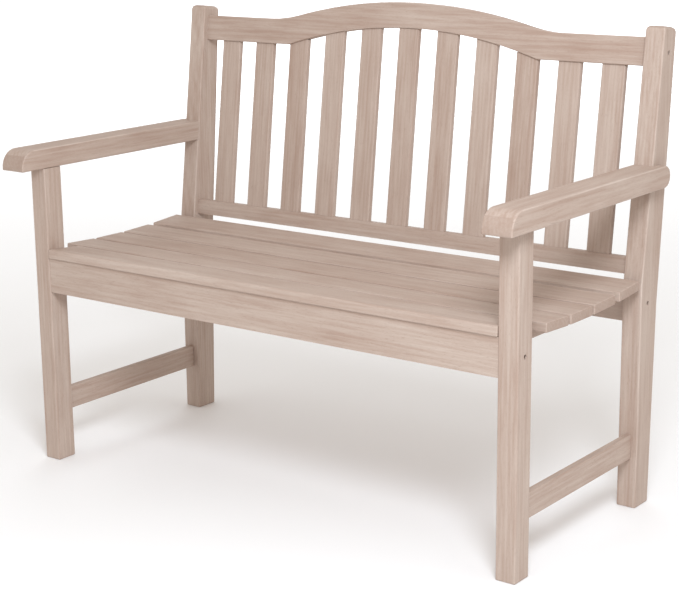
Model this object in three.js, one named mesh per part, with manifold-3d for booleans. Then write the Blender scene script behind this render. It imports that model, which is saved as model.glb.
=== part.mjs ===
// Garden bench with a camelback top rail: millimetres, +Z up, the sitter faces -Y.
// Drawn with y = 0 at the front faces of the front legs, then centred on its own box.
import * as THREE from 'three';
import { mergeVertices } from 'three/addons/utils/BufferGeometryUtils.js';
import Module from 'manifold-3d';

const wasm = await Module();
wasm.setup();

// Clearance between faces that touch on the real bench.
const GAP = 0.3;

// Legs and back posts
const LEG_SPAN = 1100;
const LEG_WIDTH = 38;
const FRONT_LEG_DEPTH = 44;
const POST_FRONT_Y = 423;
const POST_FOOT_DEPTH = 50;
const POST_BEND_DEPTH = 61;
const POST_RAKED_DEPTH = 45.2;
const BEND_Z = 418;
const BEND_BACK_Z = 379;
const RAKE = THREE.MathUtils.degToRad(7.2);
const POST_RAKED_LENGTH = 458.3;
const POST_TOP_ROUND = 9;

// Arms
const ARM_BOTTOM_Z = 591.5;
const ARM_THICKNESS = 39.5;
const ARM_FRONT_Y = -55;
const ARM_BACK_Y = 482;
const ARM_OVERHANG = 19;
const ARM_FRONT_ROUND = 34;

// Seat: a shallow dish that is an arc of SEAT_RADIUS, lowest at SEAT_LOW_Y
const SEAT_RADIUS = 2000;
const SEAT_LOW_Y = 215;
const SEAT_LOW_Z = 422.4;
const SLAT_THICKNESS = 18;
const SLAT_DEPTH = 74;
const SLAT_PITCH = 80.5;
const FIRST_SLAT_FRONT_Y = -1;
const FIRST_SLAT_DEPTH = 81;
const SECOND_SLAT_FRONT_Y = 87;
const LAST_SLAT_BACK_Y = 411;
const SLAT_LENGTH = 1102;

// Rails under the seat
const APRON_FRONT_Y = 2;
const APRON_THICKNESS = 29;
const RAIL_BOTTOM_Z = 347;
const RAIL_TOP_Z = 412;
const BACK_RAIL_THICKNESS = 22;
const BACK_RAIL_FRONT_Y = POST_FRONT_Y + (POST_FOOT_DEPTH - BACK_RAIL_THICKNESS) / 2;
const BEARER_WIDTH = 22;
const BEARER_BOTTOM_Z = 386;
const BEARER_INSET = 44;
const HOUSING_DEPTH = 5;

// Low side stretchers
const STRETCHER_BOTTOM_Z = 94;
const STRETCHER_HEIGHT = 45.5;
const STRETCHER_THICKNESS = 14;

// Back: heights are measured up the rake from the bend
const BACK_RAIL_DEPTH = 21;
const BACK_RAIL_SETBACK = (POST_RAKED_DEPTH - BACK_RAIL_DEPTH) / 2;
const LOWER_RAIL_BOTTOM = 17.8;
const LOWER_RAIL_HEIGHT = 30.5;
const TOP_RAIL_BOTTOM = 387.3;
const TOP_RAIL_HEIGHT = 51;
const ARCH_RISE = 43.5;
const ARCH_TOP_RADIUS = 1050;
const ARCH_TOP_REACH = 340;
const ARCH_BOTTOM_REACH = 292;
const ARCH_BOTTOM_RISE = 45;
const BACK_SLATS = 11;
const BACK_SLAT_WIDTH = 47;
const BACK_SLAT_THICKNESS = 12;
const BACK_SLAT_PITCH = 89.5;
const BACK_SLAT_HOUSING = 12;

// Tenons
const TENON_THICKNESS = 8;
const TENON_LENGTH = 18;
const STUB_LENGTH = 9;
const TENON_SHOULDER = 7;
const ARM_TENON = 22;

// Fasteners
const BOLT_SHANK_RADIUS = 2.5;
const BOLT_HEAD_RADIUS = 3.9;
const BOLT_HEAD_HEIGHT = 4;
const BOLT_RECESS = 3;
const BOLT_LENGTH = 78;
const BARREL_RADIUS = 5;
const BARREL_LENGTH = 15;
const SCREW_LENGTH = 34;
const SCREW_SHANK_RADIUS = 1.8;
const SCREW_HEAD_RADIUS = 3.6;
const SCREW_HEAD_HEIGHT = 3;
const ROUND_SEGMENTS = 16;

const HALF_SPAN = LEG_SPAN / 2;
const LEG_CENTRE_X = HALF_SPAN - LEG_WIDTH / 2;
const INNER_SPAN = LEG_SPAN - 2 * LEG_WIDTH;
const RAIL_HEIGHT = RAIL_TOP_Z - RAIL_BOTTOM_Z;
const RAIL_MID_Z = (RAIL_TOP_Z + RAIL_BOTTOM_Z) / 2;
const SIDES = { left: -1, right: 1 };

// The back frame leans by RAKE about the line where the posts bend.
const rake = new THREE.Matrix4()
  .makeRotationX(-RAKE)
  .setPosition(0, POST_FRONT_Y, BEND_Z);

const bench = new THREE.Group();
const backFrame = new THREE.Group();
backFrame.applyMatrix4(rake);
bench.add(backFrame);

// ---- helpers ----

function wood() {
  return new THREE.MeshStandardMaterial({ color: 0xc5b0a2, roughness: 0.75, metalness: 0 });
}

function steel() {
  return new THREE.MeshStandardMaterial({ color: 0xb4b6b8, roughness: 0.35, metalness: 1 });
}

function place(parent, name, geometry, material, position = [0, 0, 0], rotation = [0, 0, 0]) {
  const mesh = new THREE.Mesh(geometry, material);
  mesh.name = name;
  mesh.position.set(...position);
  mesh.rotation.set(...rotation);
  parent.add(mesh);
}

function box(sizeX, sizeY, sizeZ, x = 0, y = 0, z = 0) {
  return new THREE.BoxGeometry(sizeX, sizeY, sizeZ).translate(x, y, z);
}

// A box given by its lowest and highest corners
function span(low, high) {
  const size = high.map((value, axis) => value - low[axis]);
  const middle = high.map((value, axis) => (value + low[axis]) / 2);
  return box(...size, ...middle);
}

function rod(radius, length, axis) {
  const geometry = new THREE.CylinderGeometry(radius, radius, length, ROUND_SEGMENTS);
  if (axis === 'x') geometry.rotateZ(Math.PI / 2);
  if (axis === 'z') geometry.rotateX(Math.PI / 2);
  return geometry;
}

// Side outline drawn as (y, z), made solid from x = -width / 2 to width / 2
function sideProfile(shape, width) {
  return new THREE.ExtrudeGeometry(shape, { depth: width, bevelEnabled: false, curveSegments: 6 })
    .translate(0, 0, -width / 2)
    .applyMatrix4(new THREE.Matrix4().set(0, 0, 1, 0, 1, 0, 0, 0, 0, 1, 0, 0, 0, 0, 0, 1));
}

// Front outline drawn as (x, z), made solid from y = 0 back to depth
function frontProfile(shape, depth) {
  return new THREE.ExtrudeGeometry(shape, { depth, bevelEnabled: false, curveSegments: 16 })
    .rotateX(Math.PI / 2)
    .translate(0, depth, 0);
}

function toSolid(geometry) {
  const bare = geometry.clone();
  bare.deleteAttribute('normal');
  bare.deleteAttribute('uv');
  const merged = mergeVertices(bare, 1e-4);
  return new wasm.Manifold(new wasm.Mesh({
    numProp: 3,
    vertProperties: new Float32Array(merged.attributes.position.array),
    triVerts: new Uint32Array(merged.index.array),
  }));
}

function toGeometry(solid) {
  const mesh = solid.getMesh();
  const geometry = new THREE.BufferGeometry();
  geometry.setAttribute('position', new THREE.BufferAttribute(mesh.vertProperties, 3));
  geometry.setIndex(new THREE.BufferAttribute(mesh.triVerts, 1));
  geometry.computeVertexNormals();
  return geometry;
}

function cut(base, tools) {
  return toGeometry(tools.reduce((solid, tool) => solid.subtract(toSolid(tool)), toSolid(base)));
}

function join(base, additions) {
  return toGeometry(additions.reduce((solid, item) => solid.add(toSolid(item)), toSolid(base)));
}

// ---- seat dish ----

function seatHeight(y) {
  return SEAT_LOW_Z + (y - SEAT_LOW_Y) ** 2 / (2 * SEAT_RADIUS);
}

function makeSeatSlot(front, depth) {
  const y = front + depth / 2;
  return { y, depth, tilt: (y - SEAT_LOW_Y) / SEAT_RADIUS, top: seatHeight(y) };
}

const seatSlots = [
  makeSeatSlot(FIRST_SLAT_FRONT_Y, FIRST_SLAT_DEPTH),
  makeSeatSlot(SECOND_SLAT_FRONT_Y, SLAT_DEPTH),
  makeSeatSlot(SECOND_SLAT_FRONT_Y + SLAT_PITCH, SLAT_DEPTH),
  makeSeatSlot(SECOND_SLAT_FRONT_Y + 2 * SLAT_PITCH, SLAT_DEPTH),
  makeSeatSlot(LAST_SLAT_BACK_Y - SLAT_DEPTH, SLAT_DEPTH),
];

// Height of a slat's underside, just clear of it, at a given y
function underside(slot, y) {
  const slope = Math.tan(slot.tilt);
  return slot.top + (y - slot.y) * slope - SLAT_THICKNESS / Math.cos(slot.tilt) - GAP;
}

// ---- fasteners ----

const bearerXs = {
  left: -(HALF_SPAN - BEARER_INSET - BEARER_WIDTH / 2),
  centre: 0,
  right: HALF_SPAN - BEARER_INSET - BEARER_WIDTH / 2,
};

function screwProfile(clearance) {
  const shank = SCREW_SHANK_RADIUS + clearance;
  const head = SCREW_HEAD_RADIUS + clearance;
  return [
    new THREE.Vector2(0, -clearance),
    new THREE.Vector2(head, -clearance),
    new THREE.Vector2(shank, SCREW_HEAD_HEIGHT),
    new THREE.Vector2(shank, SCREW_LENGTH - 5),
    new THREE.Vector2(0, SCREW_LENGTH + clearance),
  ];
}

// Countersunk screw standing on its head, point up
function screw(clearance = 0) {
  return new THREE.LatheGeometry(screwProfile(clearance), 12).rotateX(Math.PI / 2);
}

// Recessed bolt along X: head at the outer face, thread towards the middle
function boltCore() {
  const head = rod(BOLT_HEAD_RADIUS, BOLT_HEAD_HEIGHT, 'x').translate(-BOLT_HEAD_HEIGHT / 2, 0, 0);
  const shank = rod(BOLT_SHANK_RADIUS, BOLT_LENGTH, 'x').translate(-BOLT_LENGTH / 2, 0, 0);
  const socket = new THREE.CylinderGeometry(2, 2, 2.5, 6).rotateZ(Math.PI / 2).translate(-1.25, 0, 0);
  return cut(join(head, [shank]), [socket]);
}

// The hole that boltCore goes into, from the outer face inwards
function boltHole() {
  const recess = BOLT_RECESS + BOLT_HEAD_HEIGHT + GAP;
  const mouth = rod(BOLT_HEAD_RADIUS + GAP, recess + 1, 'x').translate((1 - recess) / 2, 0, 0);
  const shank = rod(BOLT_SHANK_RADIUS + GAP, BOLT_LENGTH + BOLT_RECESS + 2, 'x')
    .translate(-(BOLT_LENGTH + BOLT_RECESS + 2) / 2, 0, 0);
  return join(mouth, [shank]);
}

// Where the three bolts of each side enter, as (y, z); the top one is up the rake
const APRON_BOLT = { y: FRONT_LEG_DEPTH / 2, z: RAIL_MID_Z + 4 };
const SEAT_RAIL_BOLT = { y: POST_FRONT_Y + POST_FOOT_DEPTH / 2, z: RAIL_MID_Z + 4 };
const TOP_RAIL_BOLT = {
  y: POST_RAKED_DEPTH / 2,
  z: TOP_RAIL_BOTTOM + TOP_RAIL_HEIGHT / 2,
};
const BARREL_X = HALF_SPAN - BOLT_RECESS - BOLT_LENGTH + BARREL_RADIUS + 2;

function sided(geometry, side) {
  return side < 0 ? geometry.rotateZ(Math.PI) : geometry;
}

function boltHoleAt(side, at) {
  return sided(boltHole(), side).translate(side * HALF_SPAN, at.y, at.z);
}

function barrelHoleAt(side, at, backY) {
  const frontY = at.y - BARREL_LENGTH / 2 - GAP;
  return rod(BARREL_RADIUS + GAP, backY + 1 - frontY, 'y')
    .translate(side * BARREL_X, (backY + 1 + frontY) / 2, at.z);
}

function addBoltAndNut(parent, label, sideName, at) {
  const side = SIDES[sideName];
  const headX = side * (HALF_SPAN - BOLT_RECESS);
  place(parent, `${label}_bolt_${sideName}`, sided(boltCore(), side), steel(), [headX, at.y, at.z]);
  const thread = rod(BOLT_SHANK_RADIUS + GAP, 4 * BARREL_RADIUS, 'x');
  const barrel = cut(rod(BARREL_RADIUS, BARREL_LENGTH, 'y'), [thread]);
  place(parent, `${label}_barrel_nut_${sideName}`, barrel, steel(), [side * BARREL_X, at.y, at.z]);
}

// Arm bolt, driven forwards through the post into the arm's end grain
const ARM_BOLT_Z = ARM_BOTTOM_Z + ARM_THICKNESS / 2;
const ARM_BOLT_LENGTH = 90;

function postFaceY(z) {
  return POST_FRONT_Y + (z - BEND_Z) * Math.tan(RAKE);
}

// A point of the raked part of a post, in the side view
function onPost(along, depth) {
  const up = new THREE.Vector2(Math.sin(RAKE), Math.cos(RAKE));
  const back = new THREE.Vector2(Math.cos(RAKE), -Math.sin(RAKE));
  return new THREE.Vector2(POST_FRONT_Y, BEND_Z)
    .addScaledVector(up, along)
    .addScaledVector(back, depth);
}

// The back of the post runs straight from its bend to where the top is rounded.
function postBackY(z) {
  const end = onPost(POST_RAKED_LENGTH - POST_TOP_ROUND, POST_RAKED_DEPTH);
  const start = POST_FRONT_Y + POST_BEND_DEPTH;
  return start + (end.x - start) * (z - BEND_BACK_Z) / (end.y - BEND_BACK_Z);
}

const ARM_BOLT_HEAD_Y = postBackY(ARM_BOLT_Z) - BOLT_RECESS - 1;

function armBolt(clearance = 0) {
  const headLength = BOLT_HEAD_HEIGHT + clearance;
  const shankLength = ARM_BOLT_LENGTH + clearance;
  const head = rod(BOLT_HEAD_RADIUS + clearance, headLength, 'y')
    .translate(0, -headLength / 2, 0);
  const shank = rod(BOLT_SHANK_RADIUS + clearance, shankLength, 'y')
    .translate(0, -shankLength / 2, 0);
  return { head, shank };
}

// ---- legs, posts and arms ----

function stretcherTenon(side, y) {
  return box(TENON_THICKNESS, 2 * TENON_LENGTH, STRETCHER_HEIGHT - 2 * TENON_SHOULDER,
    side * LEG_CENTRE_X, y, STRETCHER_BOTTOM_Z + STRETCHER_HEIGHT / 2);
}

function stretcherMortise(side, y) {
  const height = STRETCHER_HEIGHT - 2 * TENON_SHOULDER + 2 * GAP;
  return box(TENON_THICKNESS + 2 * GAP, 2 * (TENON_LENGTH + GAP), height,
    side * LEG_CENTRE_X, y, STRETCHER_BOTTOM_Z + STRETCHER_HEIGHT / 2);
}

// Stub tenon of a rail, or with grow > 0 its mortise, on the inner face of a leg
function stub(side, y, thickness, z, height, grow = 0) {
  return box(2 * (STUB_LENGTH + grow), thickness + 2 * grow, height + 2 * grow,
    side * INNER_SPAN / 2, y, z);
}

const STUB_HEIGHT = RAIL_HEIGHT - 4 * TENON_SHOULDER;
const APRON_MID_Y = APRON_FRONT_Y + APRON_THICKNESS / 2;

function backStub(side, bottom, height, length, grow = 0) {
  return box(2 * (length + grow), TENON_THICKNESS + 2 * grow, height - 2 * TENON_SHOULDER + 2 * grow,
    side * INNER_SPAN / 2, TOP_RAIL_BOLT.y, bottom + height / 2);
}

function addFrontLeg(name, side) {
  const middleY = FRONT_LEG_DEPTH / 2;
  const height = ARM_BOTTOM_Z - GAP;
  const leg = box(LEG_WIDTH, FRONT_LEG_DEPTH, height, side * LEG_CENTRE_X, middleY, height / 2);
  const tenon = box(ARM_TENON, ARM_TENON, 2 * ARM_TENON, side * LEG_CENTRE_X, middleY, height);
  const joined = join(leg, [tenon]);
  const holes = [
    stretcherMortise(side, FRONT_LEG_DEPTH),
    stub(side, APRON_MID_Y, TENON_THICKNESS, RAIL_MID_Z, STUB_HEIGHT, GAP),
    boltHoleAt(side, APRON_BOLT),
  ];
  place(bench, name, cut(joined, holes), wood());
}

// Side outline of a back post: upright front to the bend, then raked, deepest at the bend, rounded top
function postOutline() {
  const round = POST_TOP_ROUND;
  const shape = new THREE.Shape();
  shape.moveTo(POST_FRONT_Y, 0);
  shape.lineTo(POST_FRONT_Y + POST_FOOT_DEPTH, 0);
  shape.lineTo(POST_FRONT_Y + POST_BEND_DEPTH, BEND_BACK_Z);
  const corners = [
    [onPost(POST_RAKED_LENGTH - round, POST_RAKED_DEPTH), onPost(POST_RAKED_LENGTH, POST_RAKED_DEPTH),
      onPost(POST_RAKED_LENGTH, POST_RAKED_DEPTH - round)],
    [onPost(POST_RAKED_LENGTH, round), onPost(POST_RAKED_LENGTH, 0), onPost(POST_RAKED_LENGTH - round, 0)],
  ];
  for (const [start, corner, end] of corners) {
    shape.lineTo(start.x, start.y);
    shape.quadraticCurveTo(corner.x, corner.y, end.x, end.y);
  }
  shape.lineTo(POST_FRONT_Y, BEND_Z);
  return shape;
}

// Front outline that rounds the post's top across its width
function postCrown(side) {
  const top = POST_RAKED_LENGTH * Math.cos(RAKE) + BEND_Z + 0.5;
  const half = LEG_WIDTH / 2;
  const round = POST_TOP_ROUND;
  const shape = new THREE.Shape();
  shape.moveTo(-half, -1);
  shape.lineTo(half, -1);
  shape.lineTo(half, top - round);
  shape.absarc(half - round, top - round, round, 0, Math.PI / 2);
  shape.absarc(round - half, top - round, round, Math.PI / 2, Math.PI);
  return frontProfile(shape, 2 * POST_FRONT_Y).translate(side * LEG_CENTRE_X, 0, 0);
}

function addBackPost(name, side) {
  const profile = sideProfile(postOutline(), LEG_WIDTH).translate(side * LEG_CENTRE_X, 0, 0);
  const rounded = toGeometry(toSolid(profile).intersect(toSolid(postCrown(side))));
  const bolt = armBolt(GAP);
  const armHead = rod(BOLT_HEAD_RADIUS + GAP, 20, 'y').translate(0, 10 - BOLT_HEAD_HEIGHT - GAP, 0);
  const armTool = [bolt.shank, armHead]
    .map((tool) => tool.translate(side * LEG_CENTRE_X, ARM_BOLT_HEAD_Y, ARM_BOLT_Z));
  const holes = [
    stretcherMortise(side, POST_FRONT_Y),
    stub(side, SEAT_RAIL_BOLT.y, TENON_THICKNESS, RAIL_MID_Z, STUB_HEIGHT, GAP),
    boltHoleAt(side, SEAT_RAIL_BOLT),
    boltHoleAt(side, TOP_RAIL_BOLT).applyMatrix4(rake),
    backStub(side, TOP_RAIL_BOTTOM, TOP_RAIL_HEIGHT, STUB_LENGTH, GAP).applyMatrix4(rake),
    backStub(side, LOWER_RAIL_BOTTOM, LOWER_RAIL_HEIGHT, TENON_LENGTH, GAP).applyMatrix4(rake),
    ...armTool,
  ];
  place(bench, name, cut(rounded, holes), wood());
}

function armOutline() {
  const top = ARM_BOTTOM_Z + ARM_THICKNESS;
  const nose = ARM_THICKNESS / 2;
  const front = ARM_FRONT_ROUND;
  const shape = new THREE.Shape();
  shape.moveTo(ARM_FRONT_Y, ARM_BOTTOM_Z);
  shape.lineTo(ARM_BACK_Y - nose, ARM_BOTTOM_Z);
  shape.absarc(ARM_BACK_Y - nose, ARM_BOTTOM_Z + nose, nose, -Math.PI / 2, Math.PI / 2);
  shape.lineTo(ARM_FRONT_Y + front, top);
  shape.absarc(ARM_FRONT_Y + front, top - front, front, Math.PI / 2, Math.PI);
  return shape;
}

// The arm butts against the post's front and runs on along its outer face.
function addArm(name, side) {
  const width = LEG_WIDTH + ARM_OVERHANG;
  const middleX = side * (HALF_SPAN - LEG_WIDTH + width / 2);
  const arm = sideProfile(armOutline(), width).translate(middleX, 0, 0);
  const notchSide = new THREE.Shape();
  const low = ARM_BOTTOM_Z - 10;
  const high = ARM_BOTTOM_Z + ARM_THICKNESS + 10;
  notchSide.moveTo(postFaceY(low) - GAP, low);
  notchSide.lineTo(ARM_BACK_Y + 40, low);
  notchSide.lineTo(ARM_BACK_Y + 40, high);
  notchSide.lineTo(postFaceY(high) - GAP, high);
  const notch = sideProfile(notchSide, LEG_WIDTH + 2 * GAP).translate(side * LEG_CENTRE_X, 0, 0);
  const mortise = box(ARM_TENON + 2 * GAP, ARM_TENON + 2 * GAP, 2 * (ARM_TENON + GAP),
    side * LEG_CENTRE_X, FRONT_LEG_DEPTH / 2, ARM_BOTTOM_Z);
  const boltShank = armBolt(GAP).shank.translate(side * LEG_CENTRE_X, ARM_BOLT_HEAD_Y, ARM_BOLT_Z);
  place(bench, name, cut(arm, [notch, mortise, boltShank]), wood());
}

function addArmBolt(name, side) {
  const { head, shank } = armBolt();
  const socket = new THREE.CylinderGeometry(2, 2, 2.5, 6).translate(0, -1.25, 0);
  const bolt = cut(join(head, [shank]), [socket]);
  place(bench, name, bolt, steel(), [side * LEG_CENTRE_X, ARM_BOLT_HEAD_Y, ARM_BOLT_Z]);
}

function addStretcher(name, side) {
  const front = FRONT_LEG_DEPTH + GAP;
  const back = POST_FRONT_Y - GAP;
  const half = STRETCHER_THICKNESS / 2;
  const x = side * LEG_CENTRE_X;
  const body = span([x - half, front, STRETCHER_BOTTOM_Z],
    [x + half, back, STRETCHER_BOTTOM_Z + STRETCHER_HEIGHT]);
  const tenons = [stretcherTenon(side, FRONT_LEG_DEPTH), stretcherTenon(side, POST_FRONT_Y)];
  place(bench, name, join(body, tenons), wood());
}

// ---- rails and bearers under the seat ----

// Ends of a bearer let into a rail whose inner face is at y
function bearerHousing(x, y) {
  return span([x - BEARER_WIDTH / 2 - GAP, y - HOUSING_DEPTH - GAP, BEARER_BOTTOM_Z - GAP],
    [x + BEARER_WIDTH / 2 + GAP, y + HOUSING_DEPTH + GAP, RAIL_TOP_Z + 20]);
}

function addApron() {
  const back = APRON_FRONT_Y + APRON_THICKNESS;
  const length = INNER_SPAN - 2 * GAP;
  const shape = new THREE.Shape();
  shape.moveTo(APRON_FRONT_Y, RAIL_BOTTOM_Z);
  shape.lineTo(back, RAIL_BOTTOM_Z);
  shape.lineTo(back, underside(seatSlots[0], back));
  shape.lineTo(APRON_FRONT_Y, underside(seatSlots[0], APRON_FRONT_Y));
  const stubs = [-1, 1].map((side) => stub(side, APRON_MID_Y, TENON_THICKNESS, RAIL_MID_Z, STUB_HEIGHT));
  const apron = join(sideProfile(shape, length), stubs);
  const holes = [-1, 1].flatMap((side) => [
    boltHoleAt(side, APRON_BOLT),
    barrelHoleAt(side, APRON_BOLT, back),
  ]);
  const housings = Object.values(bearerXs).map((x) => bearerHousing(x, back));
  place(bench, 'front_apron', cut(apron, [...holes, ...housings]), wood());
}

function addBackSeatRail() {
  const back = BACK_RAIL_FRONT_Y + BACK_RAIL_THICKNESS;
  const half = INNER_SPAN / 2 - GAP;
  const body = span([-half, BACK_RAIL_FRONT_Y, RAIL_BOTTOM_Z], [half, back, RAIL_TOP_Z]);
  const stubs = [-1, 1].map((side) => (
    stub(side, SEAT_RAIL_BOLT.y, TENON_THICKNESS, RAIL_MID_Z, STUB_HEIGHT)));
  const holes = [-1, 1].flatMap((side) => [
    boltHoleAt(side, SEAT_RAIL_BOLT),
    barrelHoleAt(side, SEAT_RAIL_BOLT, back),
  ]);
  const housings = Object.values(bearerXs).map((x) => bearerHousing(x, BACK_RAIL_FRONT_Y));
  place(bench, 'back_seat_rail', cut(join(body, stubs), [...holes, ...housings]), wood());
}

// A bearer's top is a row of flats, one under each slat.
function bearerOutline() {
  const front = APRON_FRONT_Y + APRON_THICKNESS - HOUSING_DEPTH;
  const back = BACK_RAIL_FRONT_Y + HOUSING_DEPTH;
  const shape = new THREE.Shape();
  shape.moveTo(front, BEARER_BOTTOM_Z);
  shape.lineTo(back, BEARER_BOTTOM_Z);
  shape.lineTo(back, RAIL_TOP_Z - 1);
  for (const slot of [...seatSlots].reverse()) {
    const slatBack = slot.y + slot.depth / 2 + 3;
    const slatFront = Math.max(slot.y - slot.depth / 2 - 3, front);
    shape.lineTo(slatBack, underside(slot, slatBack));
    shape.lineTo(slatFront, underside(slot, slatFront));
  }
  return shape;
}

function addBearer(name, x) {
  const bearer = sideProfile(bearerOutline(), BEARER_WIDTH).translate(x, 0, 0);
  const holes = seatSlots.map((slot) => screw(GAP).translate(x, screwY(slot), BEARER_BOTTOM_Z));
  place(bench, name, cut(bearer, holes), wood());
}

// Screws stand at each slat's middle; the first slat's is pushed back clear of the apron.
function screwY(slot) {
  return Math.max(slot.y, APRON_FRONT_Y + APRON_THICKNESS + 20);
}

// ---- seat slats ----

function addSeatSlat(index, slot) {
  const length = index === 0 ? INNER_SPAN - 2 * GAP : SLAT_LENGTH;
  const slat = box(length, slot.depth, SLAT_THICKNESS, 0, 0, -SLAT_THICKNESS / 2);
  const pose = new THREE.Matrix4().makeRotationX(slot.tilt).setPosition(0, slot.y, slot.top);
  const intoSlat = pose.clone().invert();
  const holes = Object.values(bearerXs).map((x) => (
    screw(GAP).translate(x, screwY(slot), BEARER_BOTTOM_Z).applyMatrix4(intoSlat)));
  place(bench, `seat_slat_${index + 1}`, cut(slat, holes), wood(),
    [0, slot.y, slot.top], [slot.tilt, 0, 0]);
}

function addSlatScrews(bearerName, x) {
  seatSlots.forEach((slot, index) => {
    place(bench, `slat_screw_${bearerName}_${index + 1}`, screw(), steel(),
      [x, screwY(slot), BEARER_BOTTOM_Z]);
  });
}

// ---- back frame, drawn square and leaned by its group ----

// Rise of the top edge over the rail's flat ends: a broad crown, then a short reverse curve
function crownRise(x) {
  const slope = 2 * ARCH_RISE / ARCH_TOP_REACH;
  const turn = slope * ARCH_TOP_RADIUS;
  const distance = Math.abs(x);
  if (distance >= ARCH_TOP_REACH) return 0;
  if (distance <= turn) return ARCH_RISE - distance ** 2 / (2 * ARCH_TOP_RADIUS);
  return slope * (ARCH_TOP_REACH - distance) ** 2 / (2 * (ARCH_TOP_REACH - turn));
}

// Rise of the lower edge: one shallow curve that meets the flat ends at a corner
function undersideRise(x) {
  return ARCH_BOTTOM_RISE * Math.max(0, 1 - (x / ARCH_BOTTOM_REACH) ** 2);
}

function topRailShape() {
  const half = INNER_SPAN / 2 - GAP;
  const steps = 32;
  const shape = new THREE.Shape();
  shape.moveTo(-half, TOP_RAIL_BOTTOM);
  for (let i = 0; i <= steps; i += 1) {
    const x = ARCH_BOTTOM_REACH * (2 * i / steps - 1);
    shape.lineTo(x, TOP_RAIL_BOTTOM + undersideRise(x));
  }
  shape.lineTo(half, TOP_RAIL_BOTTOM);
  shape.lineTo(half, TOP_RAIL_BOTTOM + TOP_RAIL_HEIGHT);
  for (let i = steps; i >= 0; i -= 1) {
    const x = ARCH_TOP_REACH * (2 * i / steps - 1);
    shape.lineTo(x, TOP_RAIL_BOTTOM + TOP_RAIL_HEIGHT + crownRise(x));
  }
  shape.lineTo(-half, TOP_RAIL_BOTTOM + TOP_RAIL_HEIGHT);
  return shape;
}

const backSlatXs = Array.from({ length: BACK_SLATS }, (_, i) => (
  (i - (BACK_SLATS - 1) / 2) * BACK_SLAT_PITCH));

// Bottom edge of the top rail at the lower side of a slat's mortise
function slatTop(x) {
  const outer = Math.abs(x) + BACK_SLAT_WIDTH / 2;
  return TOP_RAIL_BOTTOM + undersideRise(outer) + BACK_SLAT_HOUSING;
}

const SLAT_FOOT = LOWER_RAIL_BOTTOM + LOWER_RAIL_HEIGHT - BACK_SLAT_HOUSING;

// A back slat, or with grow > 0 the mortises that take its two ends
function backSlat(x, grow = 0) {
  const half = BACK_SLAT_WIDTH / 2 + grow;
  const halfThick = BACK_SLAT_THICKNESS / 2 + grow;
  return span([x - half, TOP_RAIL_BOLT.y - halfThick, SLAT_FOOT - grow],
    [x + half, TOP_RAIL_BOLT.y + halfThick, slatTop(x) + grow]);
}

function addTopRail() {
  const rail = frontProfile(topRailShape(), BACK_RAIL_DEPTH).translate(0, BACK_RAIL_SETBACK, 0);
  const stubs = [-1, 1].map((side) => backStub(side, TOP_RAIL_BOTTOM, TOP_RAIL_HEIGHT, STUB_LENGTH));
  const holes = [-1, 1].flatMap((side) => [
    boltHoleAt(side, TOP_RAIL_BOLT),
    barrelHoleAt(side, TOP_RAIL_BOLT, BACK_RAIL_SETBACK + BACK_RAIL_DEPTH),
  ]);
  const mortises = backSlatXs.map((x) => backSlat(x, GAP));
  place(backFrame, 'top_rail', cut(join(rail, stubs), [...holes, ...mortises]), wood());
}

function addLowerBackRail() {
  const half = INNER_SPAN / 2 - GAP;
  const body = span([-half, BACK_RAIL_SETBACK, LOWER_RAIL_BOTTOM],
    [half, BACK_RAIL_SETBACK + BACK_RAIL_DEPTH, LOWER_RAIL_BOTTOM + LOWER_RAIL_HEIGHT]);
  const stubs = [-1, 1].map((side) => (
    backStub(side, LOWER_RAIL_BOTTOM, LOWER_RAIL_HEIGHT, TENON_LENGTH)));
  const mortises = backSlatXs.map((x) => backSlat(x, GAP));
  place(backFrame, 'lower_back_rail', cut(join(body, stubs), mortises), wood());
}

// ---- assembly ----

for (const [sideName, side] of Object.entries(SIDES)) {
  addFrontLeg(`front_leg_${sideName}`, side);
  addBackPost(`back_post_${sideName}`, side);
  addArm(`arm_${sideName}`, side);
  addArmBolt(`arm_bolt_${sideName}`, side);
  addStretcher(`side_stretcher_${sideName}`, side);
  addBoltAndNut(bench, 'apron', sideName, APRON_BOLT);
  addBoltAndNut(bench, 'seat_rail', sideName, SEAT_RAIL_BOLT);
  addBoltAndNut(backFrame, 'top_rail', sideName, TOP_RAIL_BOLT);
}

addApron();
addBackSeatRail();
for (const [bearerName, x] of Object.entries(bearerXs)) {
  addBearer(`seat_bearer_${bearerName}`, x);
  addSlatScrews(bearerName, x);
}
seatSlots.forEach((slot, index) => addSeatSlat(index, slot));

addTopRail();
addLowerBackRail();
backSlatXs.forEach((x, i) => {
  place(backFrame, `back_slat_${String(i + 1).padStart(2, '0')}`, backSlat(x), wood());
});

// Origin: middle of the bench's own box, on the ground
bench.updateMatrixWorld(true);
const extent = new THREE.Box3().setFromObject(bench, true);
bench.position.set(0, -(extent.min.y + extent.max.y) / 2, 0);

export default bench;
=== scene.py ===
# Garden bench with a camelback top rail, in limewashed eucalyptus
import math
import random

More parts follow.
